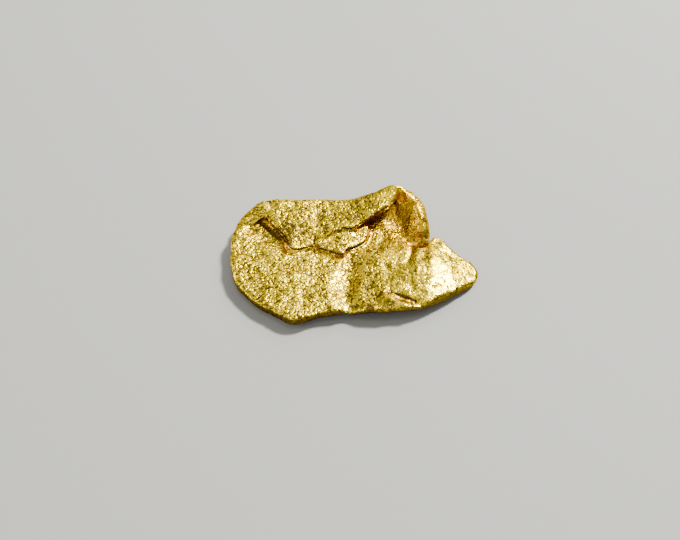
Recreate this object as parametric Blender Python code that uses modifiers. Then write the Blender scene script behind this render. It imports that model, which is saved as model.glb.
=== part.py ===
"""A natural gold nugget: a flattened, water-worn plate whose back edge is curled up and folded forward.

The whole nugget is one solid. Its forms are modelled one by one, in millimetres, and grown together
with a voxel remesh: the plate with its turned-up right rim, the fold along the back, the tongue that
shows under the fold, and the pressed core that holds the fold up. Pits are cut, the skin is beaten
into soft lumps, and the underside is worn flat at the three feet that it rests on. The last step
scales the solid to metres. +X runs along the length towards the nose, +Y to the fold, +Z up.
"""

import math

import bmesh
import bpy
from mathutils import Matrix, Vector, noise

METRES = 0.001  # one millimetre

# Fineness of the solid: the size of the remeshed faces, and the triangles kept at the end.
PLATE_GRAIN = 0.13
BODY_GRAIN = 0.10
TRIANGLES = 9600
SHARPEST = 105.0  # the sharpest edge that is not a folded sliver, in degrees
UNFOLDING_PASSES = 12

GOLD_COLOUR = (0.90, 0.66, 0.22, 1.0)
GOLD_ROUGHNESS = 0.35

# The plate seen from above, anticlockwise from the left edge.
PLATE_OUTLINE = (
    (-8.55, 1.60), (-8.55, 0.20), (-8.30, -1.25), (-7.80, -2.35), (-6.35, -3.90), (-5.30, -4.68),
    (-4.40, -5.17), (-3.75, -5.27), (-3.10, -5.12), (-2.20, -4.76), (-0.98, -4.53), (0.97, -4.58),
    (2.40, -4.60), (3.67, -4.44), (4.93, -3.98), (6.11, -3.30), (7.43, -2.45), (8.25, -1.72),
    (8.58, -1.05), (8.58, -0.45), (8.25, 0.05), (7.52, 0.48), (6.77, 1.14), (6.24, 1.72),
    (5.84, 1.96), (5.50, 1.92), (5.40, 2.66), (5.20, 3.46), (4.88, 4.18), (4.34, 4.70),
    (3.70, 5.12), (3.00, 5.28), (2.20, 5.00), (0.60, 4.60), (-2.00, 4.35), (-4.60, 4.35),
    (-6.40, 4.15), (-7.60, 3.45), (-8.30, 2.60),
)
PLATE_THICKNESS = 0.80
PLATE_ROUNDING = 0.24

# Heights of the plate above what it rests on, and where its feet are worn flat.
PLATE_TOP = 1.15
PLATE_UNDERSIDE = 0.40
LEAST_THICKNESS = 0.38
FOOT_HEIGHT = 0.02

# The relief of the plate's top.
TOP_MOUNDS = (
    # height, centre, reach along X and Y
    (0.10, (-5.2, -1.4), (2.6, 2.4)),  # crown of the left lobe
    (-0.10, (-6.6, -2.8), (1.2, 1.0)),  # its sunk left corner
    (0.34, (1.9, 3.7), (1.3, 1.2)),  # floor under the right end of the fold
    (0.48, (4.9, -1.0), (2.9, 2.4)),  # dome of the right lobe
    (0.18, (1.75, -0.2), (0.95, 0.9)),  # small dome in front of the tongue
    (0.10, (0.60, -1.1), (0.65, 0.9)),  # its left foot
    (0.14, (-8.35, 0.6), (0.9, 1.7)),  # raised left margin
    (0.10, (2.5, -3.0), (1.5, 1.1)),  # swell behind the front edge
)
TOP_FURROWS = (
    # height, start, end, width
    (0.10, (1.0, -4.4), (2.6, -4.3), 0.50),  # raised front edge
    (-0.24, (-7.1, 2.35), (-4.75, 0.80), 0.36),  # groove in the mouth of the left hollow
    (0.20, (2.05, -3.55), (3.70, -4.50), 0.26),  # ruck in the front edge
    (-0.20, (2.95, -3.48), (4.55, -4.05), 0.24),  # crease behind the ruck
    (-0.12, (4.1, 0.9), (3.7, -0.7), 0.22),  # pucker in front of the pocket
    (-0.08, (5.0, 0.7), (4.8, -0.3), 0.20),  # a second pucker beside it
)
# The valley between the lobes and the worn ridge on its left bank, which wind from side to side.
WINDING_FURROWS = (
    (-0.30, (-0.38, -1.8), (-0.30, -4.6), 0.66),
    (-0.10, (-0.25, -0.5), (-0.38, -1.8), 0.50),
    (0.10, (-1.75, -1.8), (-1.60, -4.4), 0.60),
)
WINDING = 0.15
WINDING_TURNS = 1.5
# The climb towards the fold behind the left lobe, and the slope down towards the nose.
BACK_CLIMB = 0.32
NOSE_FALL = 0.21

# The relief of the underside: three feet, and an arch along the front between the lobes.
UNDERSIDE_MOUNDS = (
    # height, centre, reach along X and Y
    (-0.52, (-4.4, -1.4), (2.3, 2.2)),
    (-0.58, (1.2, 3.3), (2.6, 1.1)),
    (-0.56, (6.0, -0.9), (2.1, 1.3)),
    (0.50, (2.3, -4.2), (2.6, 1.5)),
)

# The turned-up rim round the right back corner: the line of its outer flank, and its height there.
RIM = (
    # x, y, height
    (1.60, 4.90, 1.50),
    (2.60, 5.14, 2.50),
    (3.10, 5.28, 3.08),
    (3.70, 5.12, 3.22),
    (4.34, 4.70, 3.08),
    (4.88, 4.16, 2.84),
    (5.20, 3.46, 2.58),
    (5.40, 2.66, 2.30),
    (5.46, 2.05, 1.94),
    (5.52, 1.75, 1.25),
)
RIM_CREST = 0.60  # how far in from the flank its crest runs
RIM_FOOT = 2.20  # how far in its inner slope ends
RIM_HOLLOWING = 1.6  # over 1, the slope is hollow
RIM_SHOULDER = 0.24  # how far it rounds down from the crest to the flank
RIM_LEAN = 0.35  # how fast its underside rises with its height

# The fold, station by station from the left edge to the rim: where the back edge lies, the height of
# the roll's foot and of its top, where the free edge lies, its height, and how far the sheet bulges
# up between the two. All are on the outer skin of the sheet.
FOLD = (
    # back x, back y, foot, top, edge x, edge y, edge height, bulge
    (-8.10, 1.00, 0.45, 0.80, -7.60, 0.95, 0.85, 0.00),
    (-8.42, 2.15, 0.40, 1.10, -7.80, 2.00, 1.15, 0.00),
    (-8.38, 3.10, 0.30, 1.40, -7.50, 2.58, 1.38, 0.02),
    (-7.98, 3.84, 0.22, 1.74, -7.02, 2.80, 1.54, 0.04),
    (-7.10, 4.50, 0.22, 2.12, -6.26, 3.00, 1.88, 0.08),
    (-5.90, 4.84, 0.22, 2.30, -5.48, 2.14, 1.80, 0.06),
    (-4.80, 4.86, 0.22, 2.32, -4.72, 1.14, 1.62, 0.04),
    (-4.10, 4.86, 0.22, 2.30, -4.46, 0.56, 1.46, 0.06),
    (-3.10, 4.87, 0.22, 2.27, -3.45, 0.60, 1.42, 0.10),
    (-2.30, 4.91, 0.22, 2.22, -2.72, 0.84, 1.56, 0.10),
    (-1.50, 4.95, 0.22, 2.20, -1.75, 1.52, 1.92, 0.07),
    (-0.60, 4.97, 0.22, 2.26, -0.70, 1.94, 2.12, 0.08),
    (0.20, 5.00, 0.22, 2.40, 0.12, 1.94, 2.18, 0.10),
    (1.13, 5.12, 0.22, 2.68, 1.05, 2.50, 2.42, 0.16),
    (2.05, 5.32, 0.25, 3.00, 1.90, 3.00, 2.58, 0.18),
    (2.72, 5.46, 0.40, 3.24, 2.62, 3.42, 2.62, 0.16),
    (3.28, 5.38, 0.80, 3.30, 3.00, 3.96, 2.76, 0.10),
    (3.74, 4.98, 1.30, 3.18, 3.48, 4.42, 2.88, 0.00),
    (4.00, 4.40, 1.50, 2.60, 3.80, 4.20, 2.50, 0.00),
)
ROLL_RADIUS = 0.45
ROLL_TUCK = 0.90  # how far the sheet runs in under the plate
FOLD_THICKNESS = 0.50
FREE_EDGE_THICKNESS = 0.26
FOLD_POINTS_ACROSS = 30
FOLD_POINTS_ALONG = 100

# The tongue: a low ridge that runs forward, and rises under the fold.
TONGUE_OUTLINE = (
    (-2.95, 2.20), (-2.80, 1.35), (-2.76, 0.72), (-1.75, 0.26), (-0.95, -0.12), (-0.70, -0.02),
    (-0.50, 0.42), (0.17, 0.76), (0.82, 1.30), (1.05, 2.20), (0.90, 3.00), (-1.00, 3.30),
)
TONGUE_THICKNESS = 0.34
TONGUE_ROUNDING = 0.12
TONGUE_TOP = 1.48
TONGUE_RIDGE = 0.16
TONGUE_LEFT_CLIMB = 0.10
TONGUE_BACK_CLIMB = 0.28

# Eggs, each with its centre, radii and turn about +Z in degrees: the pressed core under the fold, the
# cup inside the peak of the rim, the pocket at the rim's foot, and the crack that ends the rim.
CORE = ((-1.6, 3.1, 1.35), (2.1, 1.35, 0.75), 0.0)
CUP = ((3.44, 4.08, 3.02), (0.36, 0.46, 0.62), 20.0)
POCKET = ((4.34, 1.30, 1.70), (1.05, 0.60, 0.72), -12.0)
CRACK = ((5.42, 1.84, 1.30), (0.13, 0.42, 0.80), -25.0)

# The soft lumps and dents all over: how high, and how far apart.
LUMPS = ((0.06, 1.30), (0.04, 0.60))


def falloff(distance, reach):
    """A soft bump of height 1 that fades out over the reach."""
    return math.exp(-((distance / reach) ** 2))


def rise(value, start, end):
    """A smooth step from 0 at the start to 1 at the end."""
    t = min(1.0, max(0.0, (value - start) / (end - start)))
    return t * t * (3 - 2 * t)


def mounds(x, y, table):
    """The height of all the round mounds and dishes of the table at that place."""
    return sum(
        height * falloff(math.hypot((x - cx) / rx, (y - cy) / ry), 1.0)
        for height, (cx, cy), (rx, ry) in table
    )


def furrows(x, y, table):
    """The height of all the straight ridges and furrows of the table at that place."""
    total = 0.0
    for height, (sx, sy), (ex, ey), width in table:
        ax, ay = ex - sx, ey - sy
        t = ((x - sx) * ax + (y - sy) * ay) / (ax * ax + ay * ay)
        t = min(1.0, max(0.0, t))
        total += height * falloff(math.hypot(x - sx - t * ax, y - sy - t * ay), width)
    return total


def along_rim(x, y):
    """The distance inwards from the rim's outer flank, and the rim's height at the nearest place."""
    nearest = (math.inf, 0.0)
    for (ax, ay, ah), (bx, by, bh) in zip(RIM, RIM[1:]):
        ux, uy = bx - ax, by - ay
        t = ((x - ax) * ux + (y - ay) * uy) / (ux * ux + uy * uy)
        t = min(1.0, max(0.0, t))
        distance = math.hypot(x - ax - t * ux, y - ay - t * uy)
        nearest = min(nearest, (distance, ah + t * (bh - ah)))
    return nearest


def plate_top(x, y):
    z = PLATE_TOP + mounds(x, y, TOP_MOUNDS) + furrows(x, y, TOP_FURROWS)
    z += furrows(x + WINDING * math.sin(WINDING_TURNS * y), y, WINDING_FURROWS)
    z += BACK_CLIMB * rise(y, 0.3, 2.8) * (1 - rise(x, -3.6, -1.6))
    z -= NOSE_FALL * max(0.0, x - 5.3)
    # The rim climbs steeply from the floor to its crest, and rounds over to its outer flank.
    inwards, height = along_rim(x, y)
    climb = (1 - rise(inwards, RIM_CREST, RIM_FOOT)) ** RIM_HOLLOWING
    shoulder = RIM_SHOULDER * (1 - rise(inwards, 0.0, RIM_CREST)) * rise(height, 1.2, 2.0)
    return z + max(0.0, height - z) * climb - shoulder


def plate_underside(x, y):
    inwards, height = along_rim(x, y)
    z = PLATE_UNDERSIDE + mounds(x, y, UNDERSIDE_MOUNDS)
    z += RIM_LEAN * (height - PLATE_TOP) * falloff(inwards, 0.70)
    return min(z, plate_top(x, y) - LEAST_THICKNESS)


def tongue_top(x, y):
    z = TONGUE_TOP + TONGUE_RIDGE * falloff(x + 0.75, 0.9)
    return z + TONGUE_LEFT_CLIMB * rise(-x, 0.4, 2.4) + TONGUE_BACK_CLIMB * rise(y, 0.9, 2.6)


def tongue_underside(x, y):
    """The tongue stands off the plate at its front and lies on it further back."""
    return tongue_top(x, y) - TONGUE_THICKNESS * (1.0 + 0.9 * rise(y, 0.7, 1.6))


def fold_section(station):
    """From the underside of the plate, round the back of the roll, and forward to the free edge."""
    back_x, back_y, foot, top, edge_x, edge_y, edge_height, bulge = station
    back = Vector((back_x, back_y, 0.0))
    inward = Vector((edge_x, edge_y, 0.0)) - back
    reach = inward.length
    inward = inward / reach
    roll = min(ROLL_RADIUS, 0.45 * reach)
    profile = (
        (roll + ROLL_TUCK, foot),
        (roll, foot + 0.02),
        (0.0, foot + 0.52 * (top - foot)),
        (roll, top),
        (0.5 * (reach + roll), 0.5 * (top + edge_height) + bulge),
        (reach, edge_height),
    )
    return tuple(back + inward * way + Vector((0, 0, height)) for way, height in profile)


def catmull_rom(points, count):
    """A smooth row of that many points through the given ones."""
    points = [Vector(p) for p in points]
    row = []
    spans = len(points) - 1
    for i in range(count):
        at = i * spans / (count - 1)
        k = min(int(at), spans - 1)
        t = at - k
        before, a, b = points[max(k - 1, 0)], points[k], points[k + 1]
        after = points[min(k + 2, spans)]
        square = 2 * before - 5 * a + 4 * b - after
        cube = 3 * a - 3 * b + after - before
        row.append(0.5 * (2 * a + (b - before) * t + square * t**2 + cube * t**3))
    return row


def clear_scene():
    for obj in list(bpy.data.objects):
        bpy.data.objects.remove(obj)


def linked(name, data, collection="gold nugget"):
    """A new object of that data, in the named collection."""
    holder = bpy.data.collections.get(collection)
    if holder is None:
        holder = bpy.data.collections.new(collection)
        bpy.context.scene.collection.children.link(holder)
    obj = bpy.data.objects.new(name, data)
    holder.objects.link(obj)
    return obj


def finished(obj):
    """The object's evaluated mesh, with its doubles merged. The object itself is removed."""
    graph = bpy.context.evaluated_depsgraph_get()
    mesh = bpy.data.meshes.new_from_object(obj.evaluated_get(graph))
    bpy.data.objects.remove(obj)
    bm = bmesh.new()
    bm.from_mesh(mesh)
    bmesh.ops.remove_doubles(bm, verts=bm.verts, dist=1e-4)
    bm.to_mesh(mesh)
    bm.free()
    return mesh


def remeshed(mesh, grain):
    """The closed mesh, or meshes that overlap, as one even skin of faces of that size."""
    obj = linked("skin", mesh)
    skin = obj.modifiers.new("skin", "REMESH")
    skin.mode = "VOXEL"
    skin.voxel_size = grain
    return finished(obj)


def slab(outline, thickness, rounding, top, underside, grain):
    """A flat slab with rounded edges, draped between the top and the underside."""
    curve = bpy.data.curves.new("outline", "CURVE")
    curve.dimensions = "2D"
    curve.fill_mode = "BOTH"
    curve.resolution_u = 8
    curve.bevel_depth = rounding
    curve.bevel_resolution = 3
    curve.offset = -rounding
    curve.extrude = thickness / 2 - rounding
    spline = curve.splines.new("BEZIER")
    spline.bezier_points.add(len(outline) - 1)
    for point, (x, y) in zip(spline.bezier_points, outline):
        point.co = (x, y, 0.0)
        point.handle_left_type = point.handle_right_type = "AUTO"
    spline.use_cyclic_u = True
    mesh = remeshed(finished(linked("slab", curve)), grain)
    for vertex in mesh.vertices:
        x, y, z = vertex.co
        low = underside(x, y)
        vertex.co.z = low + (z / thickness + 0.5) * (top(x, y) - low)
    return mesh


def lofted(sections, across, along, thicknesses):
    """A sheet through the sections, with its outer skin on them and its thickness behind it.

    The thickness runs from the first value at each section's root to the second at its end.
    """
    rows = [catmull_rom(section, across) for section in sections]
    columns = [catmull_rom(column, along) for column in zip(*rows)]
    bm = bmesh.new()
    grid = [[bm.verts.new(point) for point in column] for column in columns]
    for near, far in zip(grid, grid[1:]):
        for a, b, c, d in zip(near, near[1:], far[1:], far):
            bm.faces.new((d, c, b, a))
    mesh = bpy.data.meshes.new("sheet")
    bm.to_mesh(mesh)
    bm.free()
    obj = linked("sheet", mesh)
    body = obj.vertex_groups.new(name="body")
    root, end = thicknesses
    for i in range(across):
        share = (root + (end - root) * rise(i / (across - 1), 0.4, 1.0)) / root
        body.add([i * along + j for j in range(along)], share, "REPLACE")
    shell = obj.modifiers.new("thickness", "SOLIDIFY")
    shell.thickness = root
    shell.offset = -1.0
    shell.vertex_group = "body"
    shell.use_even_offset = True
    return finished(obj)


def egg(centre, radii, turn):
    """A closed egg shape with those radii, turned about +Z."""
    bm = bmesh.new()
    turned = Matrix.Rotation(math.radians(turn), 4, "Z")
    place = Matrix.Translation(centre) @ turned @ Matrix.Diagonal((*radii, 1.0))
    bmesh.ops.create_uvsphere(bm, u_segments=28, v_segments=16, radius=1.0, matrix=place)
    mesh = bpy.data.meshes.new("egg")
    bm.to_mesh(mesh)
    bm.free()
    return mesh


def joined(meshes):
    """One mesh that holds them all."""
    bm = bmesh.new()
    for mesh in meshes:
        bm.from_mesh(mesh)
    whole = bpy.data.meshes.new("whole")
    bm.to_mesh(whole)
    bm.free()
    return whole


def cut(mesh, cutters):
    """The mesh less the cutters."""
    body = linked("body", mesh)
    tools = [linked("cutter", cutter, "cutters") for cutter in cutters]
    for tool in tools:
        tool.hide_render = True
        tool.display_type = "WIRE"
        bite = body.modifiers.new("bite", "BOOLEAN")
        bite.operation = "DIFFERENCE"
        bite.object = tool
    mesh = finished(body)
    for tool in tools:
        bpy.data.objects.remove(tool)
    return mesh


def outer_shell(mesh):
    """The mesh without the skins of any hollows that are sealed inside it."""
    bm = bmesh.new()
    bm.from_mesh(mesh)
    waiting = set(bm.verts)
    shells = []
    while waiting:
        shell = [waiting.pop()]
        for vertex in shell:
            for edge in vertex.link_edges:
                other = edge.other_vert(vertex)
                if other in waiting:
                    waiting.remove(other)
                    shell.append(other)
        shells.append(shell)
    shells.sort(key=len)
    for shell in shells[:-1]:
        bmesh.ops.delete(bm, geom=shell, context="VERTS")
    bm.to_mesh(mesh)
    bm.free()
    return mesh


def beaten(mesh):
    """The mesh with its skin beaten into soft lumps and dents."""
    bm = bmesh.new()
    bm.from_mesh(mesh)
    bm.normal_update()
    moves = []
    for vertex in bm.verts:
        dent = sum(
            height * noise.noise(vertex.co / apart + Vector((apart, 0, 0))) for height, apart in LUMPS
        )
        moves.append((vertex, vertex.normal * dent))
    for vertex, move in moves:
        vertex.co += move
    bmesh.ops.smooth_vert(
        bm, verts=bm.verts, factor=0.5, use_axis_x=True, use_axis_y=True, use_axis_z=True
    )
    bm.to_mesh(mesh)
    bm.free()
    return mesh


def thinned(mesh, triangles):
    """The mesh with its flatter faces merged down to that many triangles."""
    mesh.calc_loop_triangles()
    whole = len(mesh.loop_triangles)
    obj = linked("thinned", mesh)
    fewer = obj.modifiers.new("fewer", "DECIMATE")
    fewer.ratio = triangles / whole
    fewer.use_collapse_triangulate = True
    return finished(obj)


def unfolded(mesh):
    """The mesh with any slivers that lie folded back on their neighbours pulled straight."""
    bm = bmesh.new()
    bm.from_mesh(mesh)
    for _ in range(UNFOLDING_PASSES):
        folded = [edge for edge in bm.edges if edge.calc_face_angle() > math.radians(SHARPEST)]
        corners = list(dict.fromkeys(vertex for edge in folded for vertex in edge.verts))
        bmesh.ops.smooth_vert(
            bm, verts=corners, factor=0.5, use_axis_x=True, use_axis_y=True, use_axis_z=True
        )
        bm.normal_update()
    bm.to_mesh(mesh)
    bm.free()
    return mesh


def worn_flat(mesh, height):
    """The mesh cut off level at that height, with the cuts closed."""
    bm = bmesh.new()
    bm.from_mesh(mesh)
    everything = bm.verts[:] + bm.edges[:] + bm.faces[:]
    bmesh.ops.bisect_plane(
        bm, geom=everything, dist=1e-5, plane_co=(0, 0, height), plane_no=(0, 0, -1), clear_outer=True
    )
    open_edges = [edge for edge in bm.edges if edge.is_boundary]
    bmesh.ops.holes_fill(bm, edges=open_edges, sides=0)
    bmesh.ops.recalc_face_normals(bm, faces=bm.faces)
    bm.to_mesh(mesh)
    bm.free()
    return mesh


def placed(mesh):
    """The mesh in metres, standing on the origin at the middle of its length and width."""
    low = Vector([min(v.co[axis] for v in mesh.vertices) for axis in range(3)])
    high = Vector([max(v.co[axis] for v in mesh.vertices) for axis in range(3)])
    foot = Vector(((low.x + high.x) / 2, (low.y + high.y) / 2, low.z))
    mesh.transform(Matrix.Scale(METRES, 4) @ Matrix.Translation(-foot))
    return mesh


def gold():
    material = bpy.data.materials.new("native gold")
    material.use_nodes = True
    shader = material.node_tree.nodes["Principled BSDF"]
    shader.inputs["Base Color"].default_value = GOLD_COLOUR
    shader.inputs["Metallic"].default_value = 1.0
    shader.inputs["Roughness"].default_value = GOLD_ROUGHNESS
    return material


def build():
    clear_scene()
    plate = slab(PLATE_OUTLINE, PLATE_THICKNESS, PLATE_ROUNDING, plate_top, plate_underside, PLATE_GRAIN)
    tongue = slab(
        TONGUE_OUTLINE, TONGUE_THICKNESS, TONGUE_ROUNDING, tongue_top, tongue_underside, BODY_GRAIN
    )
    sections = [fold_section(station) for station in FOLD]
    thicknesses = (FOLD_THICKNESS, FREE_EDGE_THICKNESS)
    fold = lofted(sections, FOLD_POINTS_ACROSS, FOLD_POINTS_ALONG, thicknesses)
    body = remeshed(joined([plate, tongue, fold, egg(*CORE)]), BODY_GRAIN)
    body = cut(body, [egg(*CUP), egg(*POCKET), egg(*CRACK)])
    body = beaten(outer_shell(remeshed(body, BODY_GRAIN)))
    body = worn_flat(unfolded(thinned(body, TRIANGLES)), FOOT_HEIGHT)
    nugget = linked("nugget", placed(body))
    nugget.data.name = "nugget"
    nugget.data.materials.append(gold())
    nugget.data.shade_smooth()
    return nugget


if __name__ == "__main__":
    build()
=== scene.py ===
"""Gives the gold nugget its worn, pitted skin, and sets it on a pale studio floor."""

import math

import bpy
import numpy as np
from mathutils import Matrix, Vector, noise
from mathutils.bvhtree import BVHTree


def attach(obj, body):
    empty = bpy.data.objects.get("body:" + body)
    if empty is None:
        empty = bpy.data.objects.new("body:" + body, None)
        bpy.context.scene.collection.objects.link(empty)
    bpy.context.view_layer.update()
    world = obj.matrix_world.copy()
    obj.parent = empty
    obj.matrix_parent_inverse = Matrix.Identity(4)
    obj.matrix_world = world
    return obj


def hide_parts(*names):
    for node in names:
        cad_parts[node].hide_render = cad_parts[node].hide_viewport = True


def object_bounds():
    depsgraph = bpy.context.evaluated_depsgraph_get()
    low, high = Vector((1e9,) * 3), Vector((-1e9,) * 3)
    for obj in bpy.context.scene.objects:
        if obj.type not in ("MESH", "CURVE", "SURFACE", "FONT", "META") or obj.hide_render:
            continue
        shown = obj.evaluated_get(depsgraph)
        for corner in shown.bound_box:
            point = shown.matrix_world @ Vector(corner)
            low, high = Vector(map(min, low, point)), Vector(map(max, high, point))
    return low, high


MILLIMETRE = 0.001

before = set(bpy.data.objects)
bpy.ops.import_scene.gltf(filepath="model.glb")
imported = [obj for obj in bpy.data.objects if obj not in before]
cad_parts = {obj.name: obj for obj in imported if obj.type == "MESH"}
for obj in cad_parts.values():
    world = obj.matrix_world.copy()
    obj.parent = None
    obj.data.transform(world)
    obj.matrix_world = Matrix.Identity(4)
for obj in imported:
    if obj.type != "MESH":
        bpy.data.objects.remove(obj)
cad_low, cad_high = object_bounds()


def deselect_all():
    bpy.ops.object.select_all(action="DESELECT")


def pick(obj):
    """Only that object is selected and active."""
    deselect_all()
    obj.select_set(True)
    bpy.context.view_layer.objects.active = obj


def apply(obj, kind, **settings):
    """Gives the object a modifier with those settings, and applies it."""
    pick(obj)
    modifier = obj.modifiers.new(kind.lower(), kind)
    for name, value in settings.items():
        setattr(modifier, name, value)
    bpy.ops.object.modifier_apply(modifier=modifier.name)


def scaled(obj, factor):
    """Scales the mesh about the origin."""
    pick(obj)
    obj.scale = (factor, factor, factor)
    bpy.ops.object.transform_apply(location=False, rotation=False, scale=True)


# ---------------------------------------------------------------- the even skin, in millimetres

JOIN_WITHIN = 0.000001  # in metres, before the skin is scaled up
SKIN_VOXEL = 0.055
SKIN_SMOOTHING = 0.5
SKIN_SMOOTH_PASSES = 6
SKIN_TRIANGLES = 185000
HIDDEN_DIP = -0.45  # the underside is where the skin faces down more than this
UV_ANGLE = math.radians(66)
UV_MARGIN = 0.002


def smooth_skin(node):
    """A copy of the solid as one even, smooth skin, coarser underneath, with its UV map."""
    skin = bpy.data.objects.new("nugget_skin", node.data.copy())
    bpy.context.scene.collection.objects.link(skin)
    skin.matrix_world = node.matrix_world
    pick(skin)
    bpy.ops.object.transform_apply(location=True, rotation=True, scale=True)
    bpy.ops.object.mode_set(mode="EDIT")
    bpy.ops.mesh.select_all(action="SELECT")
    bpy.ops.mesh.remove_doubles(threshold=JOIN_WITHIN)
    bpy.ops.object.mode_set(mode="OBJECT")
    scaled(skin, 1 / MILLIMETRE)
    apply(skin, "REMESH", mode="VOXEL", voxel_size=SKIN_VOXEL)
    apply(skin, "SMOOTH", factor=SKIN_SMOOTHING, iterations=SKIN_SMOOTH_PASSES)
    triangles = 2 * len(skin.data.polygons)
    under = skin.vertex_groups.new(name="under")
    under.add([v.index for v in skin.data.vertices if v.normal.z < HIDDEN_DIP], 1.0, "REPLACE")
    apply(
        skin,
        "DECIMATE",
        ratio=SKIN_TRIANGLES / triangles,
        vertex_group="under",
        use_collapse_triangulate=True,
    )
    skin.vertex_groups.clear()
    pick(skin)
    bpy.ops.object.mode_set(mode="EDIT")
    bpy.ops.mesh.select_all(action="SELECT")
    bpy.ops.uv.smart_project(angle_limit=UV_ANGLE, island_margin=UV_MARGIN)
    bpy.ops.object.mode_set(mode="OBJECT")
    skin.data.uv_layers[0].name = "OFBake"
    return skin


# ---------------------------------------------------------------- the mesh as arrays


def places_of(mesh):
    """The vertices' places, one row each."""
    places = np.empty(len(mesh.vertices) * 3)
    mesh.vertices.foreach_get("co", places)
    return places.reshape(-1, 3)


def normals_of(mesh):
    """The vertices' normals, one row each."""
    normals = np.empty(len(mesh.vertices) * 3)
    mesh.vertex_normals.foreach_get("vector", normals)
    return normals.reshape(-1, 3)


def ends_of(mesh):
    """The two vertices of each edge."""
    ends = np.empty(len(mesh.edges) * 2, dtype=np.int64)
    mesh.edges.foreach_get("vertices", ends)
    return ends.reshape(-1, 2)


def put_places(mesh, places):
    mesh.vertices.foreach_set("co", places.astype(np.float32).ravel())
    mesh.update()


def add_mask(mesh, name, values):
    """Keeps the values, held between 0 and 1, as an attribute that the material reads."""
    mask = mesh.attributes.new(name, "FLOAT", "POINT")
    mask.data.foreach_set("value", np.clip(values, 0, 1).astype(np.float32))


def relaxed(values, ends, passes):
    """The values at the vertices, averaged with their neighbours' that many times."""
    values = values.copy()
    first, second = ends[:, 0], ends[:, 1]
    count = len(values)
    share = np.bincount(first, minlength=count) + np.bincount(second, minlength=count)
    for _ in range(passes):
        for axis in range(values.shape[1]):
            column = values[:, axis]
            total = np.bincount(first, weights=column[second], minlength=count)
            total += np.bincount(second, weights=column[first], minlength=count)
            values[:, axis] = 0.5 * (column + total / share)
    return values


def spread(values, ends, passes):
    """One value at each vertex, relaxed."""
    return relaxed(values[:, None], ends, passes)[:, 0]


def relief_of(places, normals, ends, passes):
    """How far each vertex stands out from its surroundings, in millimetres."""
    return ((places - relaxed(places, ends, passes)) * normals).sum(axis=1)


def falloff(places, centre, reach):
    """A soft bump of 1 at the centre, on X and Y."""
    across = (places[:, :2] - np.array(centre)) / np.array(reach)
    return np.exp(-(across**2).sum(axis=1))


def patches_of(places, patches):
    """The sum of soft patches, each with its centre, reach and strength."""
    return sum(strength * falloff(places, centre, reach) for centre, reach, strength in patches)


def rising(values, middle, fade):
    """A soft step from 0 to 1 that passes a half at the middle."""
    return 1 / (1 + np.exp((middle - values) / fade))


# ---------------------------------------------------------------- grain and shelter

GRAIN_SEED = 1  # noise_vector draws its offsets from this seed, or from the clock without one
GRAIN_HEIGHT = 0.030
GRAIN_LEVEL = 0.6  # what is taken off, so that the grain neither swells nor thins the nugget
SWAY, SWAY_SIZE = 0.12, 0.9
KNOBS, KNOB_SIZE = 1.5, 0.38
FINE_KNOBS, FINE_KNOB_SIZE, FINE_KNOB_SHIFT = 1.0, 0.22, Vector((7, 3, 1))
SWELL, SWELL_SIZE, SWELL_SHIFT = 1.7, 1.0, Vector((2, 9, 4))


def grain_of(places):
    """The worn, pitted grain at each place, as a share of its height."""
    noise.seed_set(GRAIN_SEED)
    grain = np.empty(len(places))
    for i, place in enumerate(places.tolist()):
        place = Vector(place)
        sway = noise.noise_vector(place / SWAY_SIZE) * SWAY
        knobs = abs(noise.noise((place + sway) / KNOB_SIZE))
        fine = abs(noise.noise((place - sway) / FINE_KNOB_SIZE + FINE_KNOB_SHIFT))
        swell = noise.noise(place / SWELL_SIZE + SWELL_SHIFT)
        grain[i] = KNOBS * knobs + FINE_KNOBS * fine + SWELL * swell - GRAIN_LEVEL
    return grain


RAYS = 18
RAY_TURN = 2.39996  # the golden angle, which spreads the rays evenly
RAY_START = 0.03
UPRIGHT = 0.9  # a normal that rises more than this needs another helper axis
NEAR = 0.5
FAR = 3.0


def shelter_of(mesh, places, normals):
    """How much of the way out is closed off at each vertex: by what is near, and by what is far."""
    tree = BVHTree.FromPolygons(
        [tuple(p) for p in places.tolist()], [tuple(f.vertices) for f in mesh.polygons]
    )
    helper = np.where(np.abs(normals[:, 2:3]) > UPRIGHT, [[1.0, 0, 0]], [[0, 0, 1.0]])
    across = np.cross(normals, helper)
    across /= np.linalg.norm(across, axis=1)[:, None]
    along = np.cross(normals, across)
    starts = (places + normals * RAY_START).tolist()
    near = np.zeros(len(places))
    far = np.zeros(len(places))
    for ray in range(RAYS):
        rise = math.sqrt(1 - (ray + 0.5) / RAYS)
        run = math.sqrt(1 - rise * rise)
        turn = ray * RAY_TURN
        ways = normals * rise + across * (run * math.cos(turn)) + along * (run * math.sin(turn))
        for i, (start, way) in enumerate(zip(starts, ways.tolist())):
            distance = tree.ray_cast(start, way, FAR)[3]
            if distance is not None:
                far[i] += 1 - distance / FAR
                if distance < NEAR:
                    near[i] += 1 - distance / NEAR
    return near / RAYS, far / RAYS


# ---------------------------------------------------------------- seams

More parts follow.
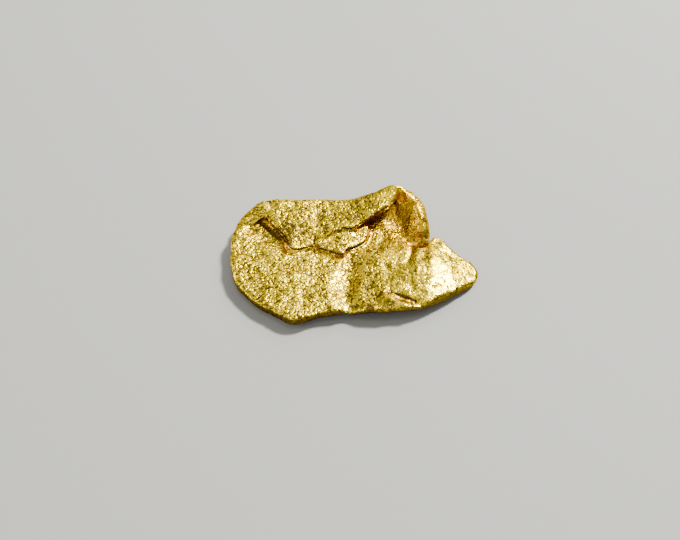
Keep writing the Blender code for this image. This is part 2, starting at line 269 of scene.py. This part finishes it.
# Where one sheet of gold lies on another: width, depth, darkening, and points in millimetres. The
# darkening is a dark joint, with painted shadow beside it.
SEAMS = (
    # the flap's free edge, from the left hollow to the tongue
    (0.07, 0.09, 1, (
        (-4.56, 0.84, 1.56), (-4.45, 0.59, 1.47), (-4.2, 0.46, 1.41), (-3.79, 0.48, 1.34),
        (-3.55, 0.59, 1.37), (-3.24, 0.66, 1.39), (-2.82, 0.71, 1.43),
    )),
    # the tongue's left side
    (0.1, 0.1, 1, (
        (-2.69, 1.46, 1.69), (-2.79, 1.08, 1.59), (-2.68, 0.71, 1.49), (-2.33, 0.44, 1.52),
        (-1.64, 0.2, 1.53),
    )),
    # the tongue's tip
    (0.15, 0.12, 1, (
        (-1.64, 0.2, 1.53), (-1.16, -0.07, 1.59), (-0.81, -0.13, 1.55),
    )),
    # the tongue's right side
    (0.08, 0.09, 0.9, (
        (-0.5, 0.34, 1.38), (-0.26, 0.51, 1.35), (0.16, 0.72, 1.32), (0.51, 0.95, 1.38),
        (0.87, 1.32, 1.33),
    )),
    # the slit between the rolled edge and the tongue
    (0.08, 0.1, 0.9, (
        (-0.74, 1.9, 2.08), (-0.46, 1.87, 1.96), (-0.11, 1.86, 1.97), (0.23, 1.98, 2.15),
        (0.51, 2.19, 2.24), (0.86, 2.37, 2.29), (1.36, 2.67, 2.39), (1.85, 2.94, 2.55),
        (2.34, 3.27, 2.67), (2.88, 4.12, 2.24),
    )),
    # the left hollow's upper edge
    (0.1, 0.05, 1, (
        (-7.03, 2.72, 1.45), (-6.75, 2.88, 1.59), (-6.28, 3.06, 1.92), (-5.89, 2.73, 1.7),
        (-5.43, 2.12, 1.79), (-4.92, 1.62, 1.72), (-4.67, 1.21, 1.65), (-4.56, 0.84, 1.56),
    )),
    # the front lip of the pocket
    (0.09, 0.01, 0.55, (
        (3.45, 1.25, 1.28), (3.62, 0.82, 1.34), (3.91, 0.66, 1.33), (4.25, 0.55, 1.37),
        (4.6, 0.62, 1.38), (4.98, 0.98, 1.2),
    )),
    # the tongue's right end
    (0.08, 0.02, 0.5, (
        (0.87, 1.32, 1.33), (1.01, 1.85, 1.47), (0.9, 2.21, 1.66),
    )),
    # the furrow behind the ruck in the right lobe, its shade painted dark
    (0.14, 0.03, 0.85, (
        (2.3, -3.27, 1.31), (2.62, -3.33, 1.29), (3.06, -3.41, 1.19), (3.58, -3.63, 1.18),
        (4.04, -3.85, 1.13),
    )),
    # the dark bed of the left hollow, its shadow painted on
    (0.3, 0.08, 0.76, (
        (-6.54, 2.81, 1.46), (-6.14, 2.48, 1.41), (-5.66, 2.06, 1.35), (-5.19, 1.64, 1.34),
        (-4.78, 1.15, 1.46),
    )),
)
HALO_REACH = 0.12  # how far past a seam's width its halo goes


def nearest_on(places, first, second):
    """Each place's distance to the straight run between two points."""
    first, second = np.array(first), np.array(second)
    run = second - first
    share = np.clip((places - first) @ run / (run @ run), 0, 1)
    return np.linalg.norm(places - first - share[:, None] * run, axis=1)


def seams_of(places):
    """How deep the seams cut at each place, how dark they make it, as a dark joint and painted
    shadow, and the halo around them.
    """
    depth = np.zeros(len(places))
    seam_dark = np.zeros(len(places))
    halo = np.zeros(len(places))
    for width, cut, dark, points in SEAMS:
        distance = np.min([nearest_on(places, a, b) for a, b in zip(points, points[1:])], axis=0)
        depth = np.maximum(depth, cut * np.exp(-((distance / width) ** 2)))
        seam_dark = np.maximum(seam_dark, dark * np.exp(-((distance / width) ** 4)))
        halo = np.maximum(halo, np.exp(-((distance / (width + HALO_REACH)) ** 2)))
    return depth, seam_dark, halo


# ---------------------------------------------------------------- where the gold is worn, and where light and shade are painted on it

# Patches on X and Y, in millimetres: centre, reach and strength.
# Painted shade: darker olive patches where the gold faces away from the light.
PAINTED_SHADE_PATCHES = (
    ((-4.4, 1.9), (0.8, 0.9), 1.0),  # the flap beside the left hollow
    ((-2.3, 2.9), (0.6, 0.8), 0.5),  # the middle of the flap
    ((-0.1, 2.75), (0.9, 0.4), 0.8),  # the rolled edge behind the tongue
    ((-0.5, -1.3), (0.35, 1.3), 0.6),  # the valley's left side
    ((-1.0, -3.2), (0.7, 0.35), 0.9),  # the ridge between its two worn spots
    ((1.2, -2.8), (0.6, 1.0), 0.7),  # the valley's mouth
    ((1.9, -4.3), (1.2, 0.35), 1.0),  # the front edge under the ruck
)
# Painted light: patches with fewer dark marks, so that they read lighter.
PAINTED_LIGHT_PATCHES = (
    ((2.6, 4.2), (1.1, 0.8), 1.0),  # the peak
    ((3.5, 3.6), (0.5, 1.0), 0.8),  # the top of the rim's inner side
    ((4.5, -0.5), (0.7, 1.2), 0.7),  # the floor in front of the pocket
    ((2.4, 1.3), (1.1, 0.7), 0.8),  # the floor beside the pocket
    ((-5.3, 0.5), (1.2, 0.6), 0.8),  # the floor under the left hollow
    ((-3.0, 0.1), (1.3, 0.4), 0.9),  # the floor under the flap's free edge
    ((2.7, 0.1), (1.2, 0.8), 0.8),  # the top of the right lobe
)
# Painted bounce light: orange where light bounces between faces of gold.
PAINTED_BOUNCE_PATCHES = (
    ((4.0, 2.6), (1.2, 1.9), 1.3),  # the cup
    ((2.4, 2.2), (1.6, 0.9), 0.5),  # the floor of the slit
)
WORN_SPOTS = (
    ((2.9, -4.1), (1.3, 0.35), 0.60),  # the ruck and the front edge below it
    ((-1.25, -1.45), (0.40, 0.50), 0.60),  # the top of the ridge
    ((-0.85, -4.00), (0.50, 0.45), 0.60),  # the foot of the ridge
)
RIGHT_LOBE = ((6.3, -1.3), (2.4, 1.9))
RIM_INSIDE = ((3.4, 2.7), (1.6, 1.3))  # stays rough
CUP = ((3.1, 3.6), (1.2, 1.2))
# Painted shade in the gap beside the cup.
CUP_GAP_SHADE = ((2.95, 2.3), (1.1, 1.0))
# The pocket's orange is painted bounce light.
POCKET = ((4.35, 1.30), (0.75, 0.38))
POCKET_ROUND = ((4.35, 1.30), (0.80, 0.50))  # where no edge or crease is sharpened

RIGHT_POLISH = 0.40  # the right half is smoother than the left
RIGHT_FROM, RIGHT_FADE = 1.6, 0.5
RIGHT_LOBE_POLISH = 0.45
POCKET_POLISH = 0.8
MOST_POLISH = 0.92
POCKET_SPREAD = 1.3

BACK_LEAN, BACK_FADE, BACK_LIGHTER = 0.70, 0.2, 0.9  # by how much a normal faces back

FRONT_FROM, FRONT_FADE = 2.2, 0.3  # millimetres towards the front
# The low sides, which get painted shade: how far a normal may rise, how high they reach, and what
# the front adds to each.
SIDE_LEAN, SIDE_LEAN_FRONT, SIDE_LEAN_FADE = 0.55, 0.2, 0.4
SIDE_HEIGHT, SIDE_HEIGHT_FRONT, SIDE_HEIGHT_FADE = 1.3, 0.3, 0.7
SIDE_SHADE, SIDE_SHADE_FRONT = 0.7, 0.3

SHELTERED = 0.15  # the far shelter past which painted orange bounce light is added
SHELTER_BOUNCE = 5
HALO_BOUNCE = 0.5
DEEP_SPAN = 0.12
DEEP_PASSES = 40


def polish_of(places, pocket):
    """How smoothly the gold is worn at each place."""
    polish = RIGHT_POLISH * rising(places[:, 0], RIGHT_FROM, RIGHT_FADE)
    polish += RIGHT_LOBE_POLISH * falloff(places, *RIGHT_LOBE)
    polish *= 1 - falloff(places, *RIM_INSIDE)
    for centre, reach, strength in WORN_SPOTS:
        polish += strength * falloff(places, centre, reach)
    return np.clip(polish + POCKET_POLISH * pocket, 0, MOST_POLISH)


def lighter_marks_of(places, normals):
    """Where the gold has fewer dark marks: painted light in the listed patches, and on faces that
    turn back.
    """
    back_wall = np.clip((normals[:, 1] - BACK_LEAN) / BACK_FADE, 0, 1)
    return patches_of(places, PAINTED_LIGHT_PATCHES) + BACK_LIGHTER * back_wall


def low_side_of(places, normals):
    """Painted shade on the lower part of the walls, strongest at the front."""
    front = rising(-places[:, 1], FRONT_FROM, FRONT_FADE)
    lean = (SIDE_LEAN + SIDE_LEAN_FRONT * front - normals[:, 2]) / SIDE_LEAN_FADE
    height = (SIDE_HEIGHT + SIDE_HEIGHT_FRONT * front - places[:, 2]) / SIDE_HEIGHT_FADE
    shade = SIDE_SHADE + SIDE_SHADE_FRONT * front
    return np.clip(lean, 0, 1) * (np.clip(height, 0, 1) * shade)


def painted_bounce_of(places, halo, far):
    """Where painted orange bounce light goes: in the cup, the slit and the hollows, and beside
    seams.
    """
    painted_bounce = np.maximum(patches_of(places, PAINTED_BOUNCE_PATCHES), halo * HALO_BOUNCE)
    return np.maximum(painted_bounce, (far - SHELTERED) * SHELTER_BOUNCE)


# ---------------------------------------------------------------- the worn skin

CREASE_PASSES = 14  # the averaging that edges and creases are measured against
CREASE_DEEPENING = 1.3
EDGE_SHARPENING = 0.9
MOST_DEEPENING, MOST_SHARPENING = -0.12, 0.05
NEAR_PASSES = 3
FAR_PASSES = 12
PIT_PASSES = 4
PIT_DEPTH = 0.02  # a pit or fold of this depth is marked in full
FOLD_DEPTH = 0.07
CUP_UNFOLDED = 0.75
POLISHED_OFF = 0.9  # the share of the grain that full polish takes away
SEAM_DARK_OFF = 0.8  # the share that full seam darkening takes away
SHELTER_CALM, LEAST_GRAIN = 1.5, 0.2  # near shelter calms the grain, down to this share


def worn_skin(skin):
    """Sharpens the skin's edges, deepens its creases, and beats the grain and seams into it."""
    mesh = skin.data
    ends = ends_of(mesh)
    places, normals = places_of(mesh), normals_of(mesh)
    relief = relief_of(places, normals, ends, CREASE_PASSES)
    push = np.where(relief > 0, relief * EDGE_SHARPENING, relief * CREASE_DEEPENING)
    push *= 1 - falloff(places, *POCKET_ROUND)
    places += normals * np.clip(push, MOST_DEEPENING, MOST_SHARPENING)[:, None]
    put_places(mesh, places)

    normals = normals_of(mesh)
    near, far = shelter_of(mesh, places, normals)
    near = spread(near, ends, NEAR_PASSES)
    far = spread(far, ends, FAR_PASSES)
    pocket = falloff(places, *POCKET)
    polish = polish_of(places, pocket)
    depth, seam_dark, halo = seams_of(places)
    grain = grain_of(places) * GRAIN_HEIGHT * (1 - POLISHED_OFF * polish)
    grain *= np.clip(1 - SHELTER_CALM * near, LEAST_GRAIN, 1)
    grain = grain * (1 - SEAM_DARK_OFF * seam_dark) - depth
    places += normals * grain[:, None]
    places = np.clip(places, np.array(cad_low) / MILLIMETRE, np.array(cad_high) / MILLIMETRE)
    put_places(mesh, places)

    normals = normals_of(mesh)
    pits = relief_of(places, normals, ends, PIT_PASSES)
    cup = falloff(places, *CUP)
    # The pits and folds darken the colour, partly as grime and partly as painted shade.
    add_mask(mesh, "crease", -pits / PIT_DEPTH)
    add_mask(mesh, "fold", -relief / FOLD_DEPTH * (1 - CUP_UNFOLDED * cup))
    # dark joints and painted shadow along the seams
    add_mask(mesh, "seam_dark", seam_dark)
    add_mask(mesh, "polish", polish)
    # painted shade patches
    add_mask(mesh, "painted_shade", patches_of(places, PAINTED_SHADE_PATCHES))
    add_mask(mesh, "bright", lighter_marks_of(places, normals))
    # the pocket, whose orange is painted bounce light
    add_mask(mesh, "pocket", pocket * POCKET_SPREAD)
    # painted shade in the gap beside the cup
    add_mask(mesh, "painted_gap_shade", falloff(places, *CUP_GAP_SHADE))
    # painted shade on the low sides
    add_mask(mesh, "low_side", low_side_of(places, normals))
    # painted orange bounce light: beside seams, in the cup and the slit, and deep in sheltered
    # hollows
    add_mask(mesh, "painted_bounce", painted_bounce_of(places, halo, far))
    add_mask(mesh, "deep", (spread(far, ends, DEEP_PASSES) - SHELTERED) / DEEP_SPAN)


skin = smooth_skin(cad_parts["nugget"])
worn_skin(skin)
scaled(skin, MILLIMETRE)
skin.data.shade_smooth()


# ---------------------------------------------------------------- shader nodes


def new_material(name):
    """A new material and its Principled shader."""
    material = bpy.data.materials.new(name)
    material.use_nodes = True
    return material, material.node_tree.nodes["Principled BSDF"]


def node(tree, kind, settings=None, **inputs):
    """A new shader node with those settings, and values or links on its inputs."""
    made = tree.nodes.new("ShaderNode" + kind)
    for name, value in (settings or {}).items():
        setattr(made, name, value)
    for name, value in inputs.items():
        key = int(name[1:]) if name[1:].isdigit() else name
        if isinstance(value, bpy.types.NodeSocket):
            tree.links.new(value, made.inputs[key])
        else:
            made.inputs[key].default_value = value
    return made


def maths(tree, operation, *values):
    """The outcome of that operation on one to three values."""
    inputs = {f"i{place}": value for place, value in enumerate(values)}
    return node(tree, "Math", {"operation": operation}, **inputs).outputs[0]


def mask_of(tree, name):
    """The skin's attribute of that name."""
    return node(tree, "Attribute", {"attribute_name": name}).outputs["Fac"]


def mixed(tree, mask, first, second):
    """The colour that goes from the first to the second as the mask goes from 0 to 1."""
    mix = node(tree, "Mix", {"data_type": "RGBA"}, i0=mask, i6=first, i7=second)
    return mix.outputs[2]


def ranged(tree, value, low, high, to_low, to_high):
    """The value's span from low to high, stretched to another span."""
    reach = node(tree, "MapRange", i0=value, i1=low, i2=high, i3=to_low, i4=to_high)
    return reach.outputs[0]


# ---------------------------------------------------------------- gold

GOLD = (0.92, 0.665, 0.008, 1)
# painted orange bounce light
BOUNCE_ORANGE_GOLD = (0.80, 0.46, 0.001, 1)
HOLLOW_BOUNCE_GOLD = (0.80, 0.42, 0.001, 1)
# painted bounce light in the pocket
POCKET_BOUNCE_AMBER = (0.54, 0.27, 0.001, 1)
# painted shade in the gap beside the cup
GAP_SHADE_BRONZE = (0.50, 0.275, 0.001, 1)
EDGE_TINT = (1.0, 0.72, 0.05, 1)
BROWN = (0.15, 0.092, 0.014, 1)
# painted shade
PAINTED_SHADE_OLIVE = (0.30, 0.21, 0.008, 1)
# dark veins, and painted shade
DARK_VEIN_AND_SHADE = (0.08, 0.050, 0.014, 1)
# dark joints, and painted shadow
JOINT_DARK_AND_SHADOW = (0.06, 0.030, 0.008, 1)

PER_METRE = (1000, 1000, 1000)  # patterns are sized in millimetres
DRIFT_SCALE, DRIFT_DETAIL = 1.7, 2.0
DRIFT_SWAY = (0.3, 0.3, 0.3)
WIDE_SCALE, WIDE_WIDTH = 3.2, 0.11
FINE_SCALE, FINE_WIDTH, FINE_SHARE = 6.5, 0.16, 0.25
LONG_SCALE, LONG_WIDTH = 2.3, 0.11
WORM_DETAIL, WORM_ROUGHNESS, WORM_ROUNDING = 1.0, 0.4, 0.6
BUMP_DEPTH = 0.00020
DRIFT_PATCHES, DRIFT_MIDDLE = -0.10, 0.05
LIGHTER_MARKS_SHIFT = 0.045

# Each span: what it is read from and to, and what it gives at those two ends.
WORMS = (0.090, 0.030, 0.0, 0.97)
WORMS_BY_POLISH = (0.2, 0.8, 1.0, 0.25)
WORMS_BY_BOUNCE = (0.3, 1.0, 1.0, 0.6)
WRINKLES = (0.055, 0.020, 0.0, 1.0)
WRINKLES_BY_POLISH = (0.3, 0.6, 0.0, 0.9)
PAINTED_SHADE_SPAN = (0.0, 1.0, 0.0, 0.6)
LOW_SIDE = (0.0, 0.8, 0.0, 0.92)
CREASE = (0.5, 1.0, 0.0, 0.7)
FOLD = (0.25, 1.0, 0.0, 0.85)
SEAM_DARK_SPAN = (0.25, 0.75, 0.0, 0.92)
BUMP_BY_POLISH = (0.0, 1.0, 1.0, 0.10)
ROUGHNESS_BY_DRIFT = (0.3, 0.7, 0.27, 0.37)
ROUGHNESS_BY_POLISH = (0.0, 1.0, 0.0, -0.09)
ROUGHNESS_BY_POCKET = (0.0, 1.0, 0.0, 0.08)
ROUGHNESS_BY_FOLD = (0.1, 0.8, 0.0, 0.10)


def worms_of(tree, place, scale, width):
    """The height of rounded worms between thin creases, from 0 in a crease to the width."""
    swell = node(
        tree,
        "TexNoise",
        Vector=place,
        Scale=scale,
        Detail=WORM_DETAIL,
        Roughness=WORM_ROUGHNESS,
    ).outputs[0]
    fold = maths(tree, "ABSOLUTE", maths(tree, "SUBTRACT", swell, 0.5))
    return maths(tree, "SMOOTH_MIN", fold, width, width * WORM_ROUNDING)


def gold_with_painted_bounce(tree):
    """The gold's colour, pale on the open skin, with painted orange bounce light in the sheltered
    hollows, the cup and the pocket, and painted shade in the gap by the cup.
    """
    # painted orange bounce light
    colour = mixed(tree, mask_of(tree, "painted_bounce"), GOLD, BOUNCE_ORANGE_GOLD)
    colour = mixed(tree, mask_of(tree, "deep"), colour, HOLLOW_BOUNCE_GOLD)
    colour = mixed(tree, mask_of(tree, "painted_gap_shade"), colour, GAP_SHADE_BRONZE)
    return mixed(tree, mask_of(tree, "pocket"), colour, POCKET_BOUNCE_AMBER)


def marked_colour(tree, colour, drift, wide, long):
    """The colour with painted light and painted shade patches, worm-like marks and wrinkles."""
    polish, painted_shade = mask_of(tree, "polish"), mask_of(tree, "painted_shade")
    patches = maths(tree, "MULTIPLY_ADD", drift, DRIFT_PATCHES, DRIFT_MIDDLE)
    # painted light patches, less the painted shade patches
    lighter_marks = maths(tree, "SUBTRACT", mask_of(tree, "bright"), painted_shade)
    patches = maths(tree, "MULTIPLY_ADD", lighter_marks, LIGHTER_MARKS_SHIFT, patches)
    worms = ranged(tree, maths(tree, "ADD", wide, patches), *WORMS)
    worms = maths(tree, "MULTIPLY", worms, ranged(tree, polish, *WORMS_BY_POLISH))
    fewer_in_bounce = ranged(tree, mask_of(tree, "painted_bounce"), *WORMS_BY_BOUNCE)
    worms = maths(tree, "MULTIPLY", worms, fewer_in_bounce)
    wrinkles = ranged(tree, long, *WRINKLES)
    wrinkles = maths(tree, "MULTIPLY", wrinkles, ranged(tree, polish, *WRINKLES_BY_POLISH))
    # painted shade patches, in olive
    colour = mixed(tree, ranged(tree, painted_shade, *PAINTED_SHADE_SPAN), colour, PAINTED_SHADE_OLIVE)
    colour = mixed(tree, worms, colour, BROWN)
    return mixed(tree, wrinkles, colour, DARK_VEIN_AND_SHADE)


def grime_and_shade_colour(tree, colour):
    """The colour with painted shade on the low sides, grime and painted shade in the pits and
    folds, and dark joints with painted shadow along the seams.
    """
    for name, span, dark_colour in (
        ("low_side", LOW_SIDE, DARK_VEIN_AND_SHADE),
        ("crease", CREASE, BROWN),
        ("fold", FOLD, DARK_VEIN_AND_SHADE),
        ("seam_dark", SEAM_DARK_SPAN, JOINT_DARK_AND_SHADOW),
    ):
        colour = mixed(tree, ranged(tree, mask_of(tree, name), *span), colour, dark_colour)
    return colour


def worn_roughness(tree, drift):
    """Duller in drifting patches, in the pocket and in folds, and glossier where it is worn."""
    roughness = ranged(tree, drift, *ROUGHNESS_BY_DRIFT)
    for name, span in (
        ("polish", ROUGHNESS_BY_POLISH),
        ("pocket", ROUGHNESS_BY_POCKET),
        ("fold", ROUGHNESS_BY_FOLD),
    ):
        roughness = maths(tree, "ADD", roughness, ranged(tree, mask_of(tree, name), *span))
    return roughness


def native_gold():
    material, shader = new_material("native_gold")
    tree = material.node_tree
    coordinates = node(tree, "TexCoord").outputs["Object"]
    mm = node(tree, "Mapping", Vector=coordinates, Scale=PER_METRE).outputs[0]
    drift = node(tree, "TexNoise", Vector=mm, Scale=DRIFT_SCALE, Detail=DRIFT_DETAIL)
    sway = node(
        tree,
        "VectorMath",
        {"operation": "MULTIPLY_ADD"},
        i0=drift.outputs["Color"],
        i1=DRIFT_SWAY,
        i2=mm,
    ).outputs[0]
    wide = worms_of(tree, sway, WIDE_SCALE, WIDE_WIDTH)
    fine = worms_of(tree, sway, FINE_SCALE, FINE_WIDTH)
    long = worms_of(tree, sway, LONG_SCALE, LONG_WIDTH)

    colour = marked_colour(tree, gold_with_painted_bounce(tree), drift.outputs[0], wide, long)
    tree.links.new(grime_and_shade_colour(tree, colour), shader.inputs["Base Color"])
    tree.links.new(worn_roughness(tree, drift.outputs[0]), shader.inputs["Roughness"])
    shader.inputs["Metallic"].default_value = 1.0
    shader.inputs["Specular Tint"].default_value = EDGE_TINT

    bump = node(
        tree,
        "Bump",
        Strength=ranged(tree, mask_of(tree, "polish"), *BUMP_BY_POLISH),
        Distance=BUMP_DEPTH,
        Height=maths(tree, "MULTIPLY_ADD", fine, FINE_SHARE, wide),
    )
    tree.links.new(bump.outputs[0], shader.inputs["Normal"])
    return material


skin.data.materials.clear()
skin.data.materials.append(native_gold())
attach(skin, "root")
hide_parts("nugget")

# ---------------------------------------------------------------- studio

FLOOR_SIZE = 2.0
FLOOR_GREY = (0.34, 0.34, 0.33, 1)
FLOOR_ROUGHNESS = 0.9


def pale_floor():
    material, shader = new_material("pale_floor")
    shader.inputs["Base Color"].default_value = FLOOR_GREY
    shader.inputs["Roughness"].default_value = FLOOR_ROUGHNESS
    return material


deselect_all()
bpy.ops.mesh.primitive_plane_add(size=FLOOR_SIZE, location=(0, 0, 0))
floor = bpy.context.active_object
floor.name = "floor"
floor.data.materials.append(pale_floor())

DAYLIGHT = (1.0, 0.99, 0.94)
WARM_LIGHT = (1.0, 0.99, 0.92)
WARMER_LIGHT = (1.0, 0.98, 0.90)

# Name, direction, distance and size in metres, power in watts, and colour.
LAMPS = (
    ("key", (0.60, 0.46, 0.92), 0.30, 0.045, 2.48, DAYLIGHT),
    ("glint", (0.50, 0.67, 0.55), 0.30, 0.03, 0.28, DAYLIGHT),
    ("sky", (0.45, 0.78, 0.84), 0.40, 0.30, 0.47, WARM_LIGHT),
    ("back", (0.10, 0.95, 0.32), 0.50, 0.26, 0.37, WARM_LIGHT),
    ("side", (-0.98, 0.05, 0.22), 0.40, 0.20, 1.15, WARMER_LIGHT),
    ("front", (-0.15, -0.62, 0.66), 0.40, 0.28, 0.39, WARM_LIGHT),
    ("top", (0.00, -0.12, 1.00), 0.40, 0.12, 0.22, DAYLIGHT),
    ("left", (-0.40, 0.46, 0.79), 0.40, 0.14, 0.06, WARM_LIGHT),
)


def soft_light(name, towards, distance, size, power, colour):
    """A square area light at that distance in that direction, facing the nugget."""
    data = bpy.data.lights.new(name, "AREA")
    data.shape = "SQUARE"
    data.size = size
    data.energy = power
    data.color = colour
    lamp = bpy.data.objects.new(name, data)
    bpy.context.scene.collection.objects.link(lamp)
    way = Vector(towards).normalized()
    lamp.location = way * distance
    lamp.rotation_mode = "QUATERNION"
    lamp.rotation_quaternion = way.to_track_quat("Z", "Y")


for lamp_values in LAMPS:
    soft_light(*lamp_values)

WORLD_GREY = (0.80, 0.79, 0.76, 1)
WORLD_STRENGTH = 0.26

world = bpy.data.worlds.new("studio")
bpy.context.scene.world = world
world.use_nodes = True
background = world.node_tree.nodes["Background"]
background.inputs["Color"].default_value = WORLD_GREY
background.inputs["Strength"].default_value = WORLD_STRENGTH

# ---------------------------------------------------------------- camera

CAMERA_PLACE = Vector((-0.95, -42.635, 50.559)) * MILLIMETRE
CAMERA_ELEVATION = math.radians(50)
CAMERA_LENS = 50
CAMERA_SENSOR_WIDTH = 36
CAMERA_NEAREST, CAMERA_FARTHEST = 0.001, 10

camera_data = bpy.data.cameras.new("camera")
camera_data.lens = CAMERA_LENS
camera_data.sensor_width = CAMERA_SENSOR_WIDTH
camera_data.clip_start = CAMERA_NEAREST
camera_data.clip_end = CAMERA_FARTHEST
camera = bpy.data.objects.new("camera", camera_data)
bpy.context.scene.collection.objects.link(camera)
camera.location = CAMERA_PLACE
camera.rotation_euler = (math.pi / 2 - CAMERA_ELEVATION, 0, 0)
bpy.context.scene.camera = camera
